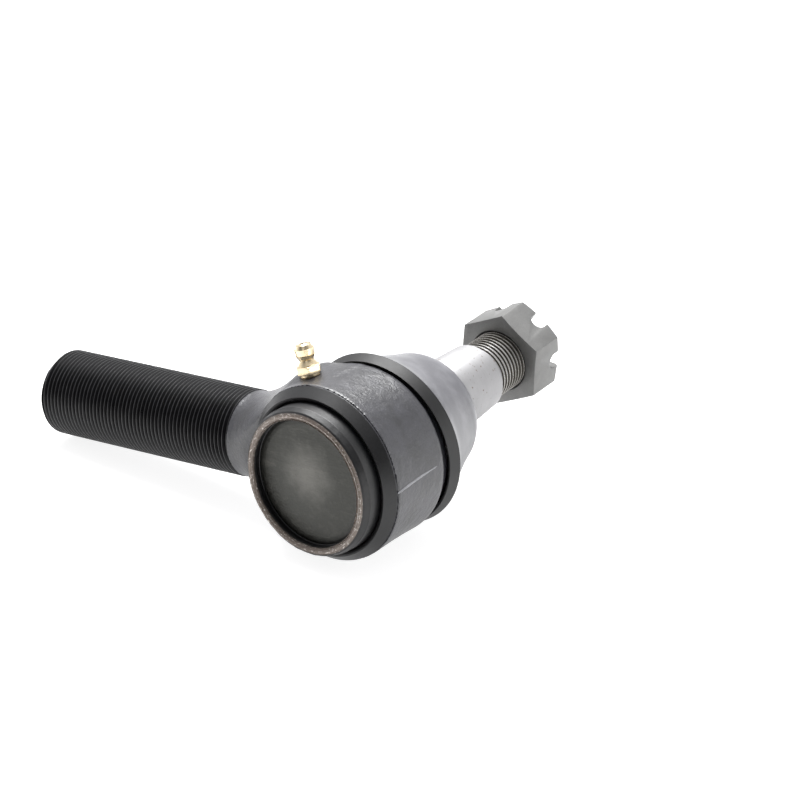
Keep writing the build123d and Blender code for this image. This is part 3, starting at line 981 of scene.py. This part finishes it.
    def build(self) -> None:
        """Makes and dresses the socket's pieces."""
        for piece, finish in ((self.forging(), FORGING), (self.nose(), NOSE), (self.flash_line(), FLASH_PAINTED_HIGHLIGHT),
                              (self.shank(), THREAD)):
            finish_piece(piece, finish, Body.SOCKET, ["housing"])


@dataclass
class EndCover:
    """The pressed cover under the rolled lip."""

    edge_r: float = 24.22
    face_y: float = -25.0
    inner_y: float = -22.4
    crown: float = 0.8
    dish_r: float = 20.6
    rings: int = 16

    def build(self) -> None:
        """A crowned disc with a shallow pressed step round it."""
        shares = [1 - k / self.rings for k in range(1, self.rings + 1)]
        crown = [(self.dish_r * share, self.face_y - self.crown * (1 - share**2)) for share in shares]
        edge = rounded([(0, self.inner_y), (self.edge_r, self.inner_y, 0.3), (self.edge_r, self.face_y, 0.3),
                        (self.dish_r + 1.4, self.face_y, 0.6), (self.dish_r, self.face_y - 0.12, 0.6),
                        crown[0]], False)
        finish_piece(turned("end_cover_disc", edge[:-1] + crown), COVER, Body.SOCKET, ["end_cover"])


# ---- the stud and its nut -----------------------------------------------------------------------
@dataclass
class Stud:
    """The ball stud: ball, neck, taper and thread."""

    ball_r: float = 19.0
    foot_y: float = -17.8
    neck_r: float = 10.2
    taper_start: float = 33.5
    taper_end: float = 71.0
    taper_end_r: float = 12.6
    slope: float = 1 / 16
    thread_r: float = 0.875 * INCH / 2
    pitch: float = INCH / 14
    end_y: float = 99.0
    pin_hole_y: float = 89.6
    pin_hole_r: float = 2.4
    hole_turn: float = 41.5

    def taper_r(self, y: float) -> float:
        """The taper's radius at a height."""
        return self.taper_end_r + (self.taper_end - y) * self.slope

    def build(self) -> None:
        """Makes the forged stud and its thread, both drilled for the split pin."""
        ridge = ThreadRidge(self.thread_r, self.pitch, self.taper_end + 1.5, self.end_y - 0.7, STUD_THREAD)
        foot = math.degrees(math.acos(-self.foot_y / self.ball_r))
        neck = 180 - math.degrees(math.asin(self.neck_r / self.ball_r))
        start = (self.taper_r(self.taper_start), self.taper_start)
        flare = curve_through([(self.neck_r, 18.0), (self.neck_r, 22.5), (12.3, 28.0), start], 6)
        core_r = ridge.root_r + 0.02
        shank = rounded([
            start, (self.taper_end_r, self.taper_end, 0.35), (core_r, self.taper_end + 0.9, 0.3),
            (core_r, self.end_y - 1.0, 0.2), (ridge.root_r - 0.9, self.end_y, 0.3), (0, self.end_y)], False)
        outline = [(0, self.foot_y)] + arc(self.ball_r, foot, neck, 40) + flare + shank[1:]
        core = turned("ball_stud_forging", outline, 160)
        wound = ridge.build("ball_stud_thread")
        hole = (Matrix.Translation((0, self.pin_hole_y * MM, 0))
                @ Matrix.Rotation(math.radians(self.hole_turn), 4, "Y")
                @ Matrix.Rotation(math.pi / 2, 4, "X"))
        for piece, finish in ((core, STUD), (wound, STUD_THREAD)):
            drill = turned("drill", [
                (0, -20.0), (self.pin_hole_r, -20.0), (self.pin_hole_r, 20.0), (0, 20.0)], 40)
            cut(piece, place(drill, hole), "DIFFERENCE")
            finish_piece(place(piece, lean()), finish, Body.STUD, ["ball_stud"])


@dataclass
class SlottedNut:
    """The hexagon nut, slotted across each flat for a split pin."""

    flats: float = 1.25 * INCH
    foot_y: float = 86.5
    height: float = 16.0
    bore_r: float = 0.875 * INCH / 2 + 0.08
    mouth_r: float = 11.9
    slot_width: float = 5.9
    slot_depth: float = 5.9
    turn: float = 41.5
    edge: float = 0.22

    def blank_nut(self) -> bpy.types.Object:
        """The hexagon with both chamfers, its bore and countersunk mouth."""
        corner = self.flats / math.sqrt(3)
        face = self.flats / 2 - 0.4
        top_drop = (corner + 1 - face) * math.tan(math.radians(30))
        envelope = turned("nut_blank", rounded([
            (self.mouth_r, 0, 0), (face, 0), (corner + 1, 0.6), (corner + 1, self.height - top_drop),
            (face - 0.6, self.height), (self.bore_r + 0.8, self.height), (self.bore_r, self.height - 0.8),
            (self.bore_r, 1.0)], True), 192, True)
        return cut(envelope, prism("nut_bar", self.flats, -1, self.height + 1, 0), "INTERSECT")

    def slots(self) -> Recipe:
        """A recipe that cuts three slots through, round at the bottom, one for each pair of flats."""
        g = Recipe("nut_slots", {
            "Slot width": self.slot_width * MM,
            "Floor": (self.height - self.slot_depth) * MM,
            "Reach": 2.6 * self.flats / 2 * MM,
            "Cuts": 3,
            "Material": NUT.material(),
        })
        width = g.given("Slot width")
        middle = g.given("Floor") + width / 2
        reach = g.given("Reach")
        rod = g.node("GeometryNodeMeshCylinder", sockets={
            "Vertices": 32, "Radius": width / 2, "Depth": reach})
        rod_up = g.node("GeometryNodeTransform", sockets={
            "Geometry": rod, "Translation": g.vector(0.0, middle, 0.0)})
        wall = g.node("GeometryNodeMeshCube", sockets={"Size": g.vector(width, width * 4.0, reach)})
        wall_up = g.node("GeometryNodeTransform", sockets={
            "Geometry": wall, "Translation": g.vector(0.0, middle + width * 2.0, 0.0)})
        tool = g.node("GeometryNodeMeshBoolean", {"operation": "UNION", "solver": "EXACT"})
        g.feed(tool.inputs["Mesh 2"], rod_up)
        g.feed(tool.inputs["Mesh 2"], wall_up)
        points = g.node("GeometryNodeMeshLine", sockets={"Count": g.given("Cuts"), "Offset": (0.0, 0.0, 0.0)})
        index = Num(g, g.node("GeometryNodeInputIndex").outputs[0])
        spin = g.vector(0.0, (index / g.given("Cuts")) * math.pi, 0.0)
        spread = g.node("GeometryNodeInstanceOnPoints", sockets={
            "Points": points, "Instance": tool, "Rotation": spin})
        real = g.node("GeometryNodeRealizeInstances", sockets={0: spread})
        g.close(g.node("GeometryNodeMeshBoolean", {"operation": "DIFFERENCE", "solver": "EXACT"}, {
            "Mesh 1": g.entry.outputs["Geometry"], "Mesh 2": real, "Self Intersection": True}))
        return g

    def build(self) -> None:
        """Makes the nut, breaks its edges and screws it on."""
        nut = softened(self.slots().run(self.blank_nut()), self.edge)
        nut.name = "slotted_nut_body"
        spot = Matrix.Translation((0, self.foot_y * MM, 0)) @ Matrix.Rotation(math.radians(self.turn), 4, "Y")
        finish_piece(place(nut, lean() @ spot), NUT, Body.NUT, ["slotted_nut"])


# ---- the boot -----------------------------------------------------------------------------------
@dataclass
class Boot:
    """The rubber boot, in two halves that meet without a step."""

    outside: Outline = field(default_factory=lambda: [
        (31.3, 16.7), (29.5, 20.0), (27.9, 24.0), (26.4, 28.0), (24.9, 32.0), (23.6, 36.0), (22.4, 39.8),
        (20.4, 43.0), (17.8, 44.7), (15.4, 45.2)])
    inside: Outline = field(default_factory=lambda: [
        (30.1, 15.0), (29.0, 17.6), (27.7, 20.8), (25.75, 26.5), (23.9, 32.0), (22.0, 36.6), (19.4, 38.9)])
    lip_y: float = 11.2
    lip_r: float = 31.3
    edge_r: float = 32.4
    edge_y: float = 15.7
    lip_wall: float = 1.1
    seam_y: float = 24.6
    bend_top: float = 36.5
    seam_band: float = 0.12
    grip: float = 4.0
    neck_r: float = 14.56
    ring_r: float = 17.5
    ring_top: float = 42.9

    def halves(self) -> tuple[Outline, Outline]:
        """The closed outlines of the lower and upper halves, split across the wall."""
        outer = curve_through(self.outside, 8)
        inner = curve_through(self.inside, 8)
        cut_out = self.at_height(outer, self.seam_y)
        cut_in = self.at_height(inner, self.seam_y)
        under, over = self.seam_y - self.seam_band, self.seam_y + self.seam_band
        low_out, low_in = ([p for p in wall if p[1] < under] for wall in (outer, inner))
        high_out, high_in = ([p for p in wall if p[1] > over] for wall in (outer, inner))
        inner_lip_r = self.lip_r - self.lip_wall
        lip = rounded([(inner_lip_r - 0.1, 14.0), (inner_lip_r, self.lip_y, 0.35),
                       (self.lip_r, self.lip_y, 0.35), (self.edge_r, self.edge_y, 0.25), low_out[0]], False)
        top_y, step_y = high_out[-1][1], high_in[-1][1]
        neck = rounded([high_out[-1], (self.neck_r, top_y - 0.4, 0.5), (self.neck_r, self.ring_top, 0.2),
                        (self.ring_r, self.ring_top, 0.2), (self.ring_r, step_y, 0.2), high_in[-1]], False)
        near = [self.at_height(outer, under), cut_out]
        far = [cut_out, self.at_height(outer, over)]
        lower = lip[1:-1] + low_out + near + [cut_in] + low_in[::-1]
        upper = far + high_out[:-1] + neck[:-1] + high_in[::-1] + [cut_in]
        return lower, upper

    @staticmethod
    def at_height(outline: Outline, height: float) -> tuple[float, float]:
        """Where an outline crosses a height."""
        for (r0, y0), (r1, y1) in zip(outline, outline[1:]):
            if y0 <= height <= y1:
                return (r0 + (r1 - r0) * (height - y0) / (y1 - y0), height)
        raise ValueError("the height lies outside the boot")

    def build(self) -> None:
        """Makes both halves, leans them onto the stud's axis and dresses them."""
        lower, upper = self.halves()
        axis = joint_axis("stud_spin")
        spans = (
            ("dust_boot_skirt", lower, Body.SOCKET, Body.BOOT, self.lip_y + self.grip, self.seam_y),
            ("dust_boot_dome", upper, Body.BOOT, Body.BOOT_COLLAR, self.seam_y, self.bend_top),
        )
        for name, outline, low, high, start, end in spans:
            piece = place(turned(name, outline, 192, True), lean())
            finish_piece(piece, RUBBER, None, ["dust_boot"])
            axis * start * MM
            axis * end * MM
            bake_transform(piece)


# ---- the grease fitting -------------------------------------------------------------------------
@dataclass
class GreaseFitting:
    """The grease fitting on the forging's shoulder."""

    x: float = -6.86
    y: float = -6.5
    flats: float = 5 / 16 * INCH
    stem_r: float = 3.08
    stem_end: float = 22.2
    foot: float = 30.4
    skirt_r: float = 3.5
    hex_low: float = 31.5
    hex_top: float = 34.6
    top: float = 42.2
    head_r: float = 3.5
    waist_r: float = 2.45
    edge: float = 0.1
    hex_turn: float = 0.0

    def build(self) -> None:
        """Head, waist and stem turned in one, with the hexagon round them."""
        top, over_hex = self.top, self.hex_top
        body = turned("fitting_body", rounded([
            (0, self.stem_end), (self.stem_r, self.stem_end, 0.4), (self.stem_r, self.foot, 0.2),
            (self.skirt_r, self.foot + 0.4, 0.15), (self.skirt_r, over_hex + 0.2, 0.1),
            (3.1, over_hex + 0.6, 0.4), (self.waist_r, over_hex + 1.8, 0.8), (self.waist_r, over_hex + 2.4, 0.6),
            (self.head_r, over_hex + 3.7, 0.3), (self.head_r, top - 1.5, 0.7), (2.5, top - 0.25, 0.5),
            (1.4, top, 0.2), (0.95, top - 0.2, 0.1), (0.85, top - 0.9, 0.1), (0, top - 1.0)], False), 72)
        face_r, corner_r = self.flats / 2 - 0.05, self.flats / math.sqrt(3) + 0.1
        bar = turned("fitting_hexagon", [
            (0, self.hex_low), (face_r, self.hex_low), (corner_r, self.hex_low + 0.4),
            (corner_r, over_hex - 0.4), (face_r, over_hex), (0, over_hex)], 96)
        cut(bar, prism("fitting_bar", self.flats, self.hex_low - 1, over_hex + 1, self.hex_turn), "INTERSECT")
        made = joined("grease_fitting_body", [body, softened(bar, self.edge)])
        outward = -joint_axis("check_travel")
        spot = (Matrix.Translation((self.x * MM, self.y * MM, 0))
                @ UP_Y.rotation_difference(outward).to_matrix().to_4x4())
        finish_piece(place(made, spot), PLATE, Body.SOCKET, ["grease_fitting"])


class HiddenWorks:
    """The pieces inside the socket, kept as the engineering model has them."""

    finishes: dict[str, Finish] = {
        "upper_race": BEARING, "lower_seat": BEARING, "disc_spring": SPRING, "cover_gasket": GASKET,
        "boot_ring": SPRING, "check_ball": BEARING, "check_spring": SPRING,
    }

    def build(self) -> None:
        """Dresses each kept node."""
        for name, finish in self.finishes.items():
            node = frame["nodes"][name]
            node.data.materials.clear()
            node.data.materials.append(finish.material())
            LOG.info("%s: kept, in %s", name, finish.name)


# ---- studio -------------------------------------------------------------------------------------
@dataclass
class Studio:
    """A plain white sweep, a light tent that is darker on the camera's side, and the camera."""

    azimuth: float = 40.914
    elevation: float = 20.631
    roll: float = -5.11
    target: tuple[float, float, float] = (8.08, 15.47, 16.98)
    distance: float = 1080.06
    lens: float = 140.5
    floor_tilt: float = 6.6
    floor_drop: float = 32.6
    floor_size: float = 9.0
    tent_behind: float = 1.0
    tent_front: float = 0.05
    lights: tuple[tuple[str, tuple[float, float, float], float, float], ...] = (
        ("overhead", (-0.3, 0.4, 1.4), 1.0, 56.0), ("right", (1.3, 0.7, 0.35), 0.8, 3.2),
        ("fill", (0.5, -1.2, 1.0), 0.6, 0.9), ("low_kick", (0.75, 0.05, 0.02), 0.3, 1.2))

    @property
    def turn(self) -> Matrix:
        """The camera's rotation."""
        return (Matrix.Rotation(math.radians(self.azimuth), 4, "Z")
                @ Matrix.Rotation(math.radians(90 - self.elevation), 4, "X")
                @ Matrix.Rotation(math.radians(self.roll), 4, "Z"))

    def camera(self) -> None:
        """Places the camera."""
        data = bpy.data.cameras.new("camera")
        data.lens = self.lens
        data.sensor_width = 36.0
        data.clip_start = 0.05
        data.clip_end = 40.0
        made = bpy.data.objects.new("camera", data)
        bpy.context.scene.collection.objects.link(made)
        back = self.turn @ Vector((0, 0, self.distance * MM))
        made.matrix_world = Matrix.Translation(Vector(self.target) * MM + back) @ self.turn
        bpy.context.scene.camera = made

    def floor(self) -> None:
        """The pale floor that the socket and the shank's end rest on."""
        half = self.floor_size / 2
        mesh = bpy.data.meshes.new("floor")
        corners = [(-half, -half, 0), (half, -half, 0), (half, half, 0), (-half, half, 0)]
        mesh.from_pydata(corners, [], [(0, 1, 2, 3)])
        tilt = Matrix.Rotation(math.radians(self.floor_tilt), 4, "Y")
        mesh.transform(tilt @ Matrix.Translation((0, 0, -self.floor_drop * MM)))
        made = new_object("floor", mesh)
        white = bpy.data.materials.new("floor_white")
        g = Shade(white)
        g.set(Base_Color=(0.4, 0.4, 0.4, 1.0), Roughness=0.9, Specular_IOR_Level=0.1,
              Emission_Color=(1.0, 1.0, 1.0, 1.0), Emission_Strength=0.86)
        made.data.materials.append(white)

    def tent(self) -> None:
        """The world: a white tent, dimmer towards the camera, brighter overhead and behind."""
        world = bpy.data.worlds.new("tent")
        bpy.context.scene.world = world
        world.use_nodes = True
        g = Graph(world.node_tree)
        sky = world.node_tree.nodes["Background"]
        direction = g.node("ShaderNodeTexCoord").outputs["Generated"]
        towards_camera = self.turn @ Vector((0, 0, 1))
        dot = g.node("ShaderNodeVectorMath", {"operation": "DOT_PRODUCT"}, {0: direction, 1: towards_camera})
        facing = Num(g, dot.outputs["Value"])
        _, _, height = g.axes(direction)
        dim = g.step(facing, -0.15, 0.75) * (1.0 - 0.75 * g.step(height, 0.45, 0.95))
        level = self.tent_behind + (self.tent_front - self.tent_behind) * dim
        g.feed(sky.inputs["Strength"], level)
        sky.inputs["Color"].default_value = (0.985, 0.985, 1.0, 1.0)

    def light(self, name: str, at: tuple[float, float, float], size: float, power: float) -> None:
        """A square soft light aimed at the socket."""
        data = bpy.data.lights.new(name, "AREA")
        data.shape = "SQUARE"
        data.size = size
        data.energy = power
        made = bpy.data.objects.new(name, data)
        bpy.context.scene.collection.objects.link(made)
        aim = (-Vector(at)).to_track_quat("-Z", "Y")
        made.matrix_world = Matrix.Translation(at) @ aim.to_matrix().to_4x4()

    def build(self) -> None:
        """Sets up world, floor, lights and camera."""
        self.tent()
        self.floor()
        for name, at, size, power in self.lights:
            self.light(name, at, size, power)
        self.camera()
        scene = bpy.context.scene
        scene.view_settings.view_transform = "Standard"
        scene.view_settings.look = "None"


def main() -> None:
    """Builds the tie rod end's looks and the studio."""
    logging.basicConfig(level=logging.INFO, format="%(name)s %(message)s")
    makers = (Socket(), EndCover(), Stud(), SlottedNut(), Boot(), GreaseFitting(), HiddenWorks(), Studio())
    for maker in makers:
        maker.build()


if __name__ == "__main__":
    main()
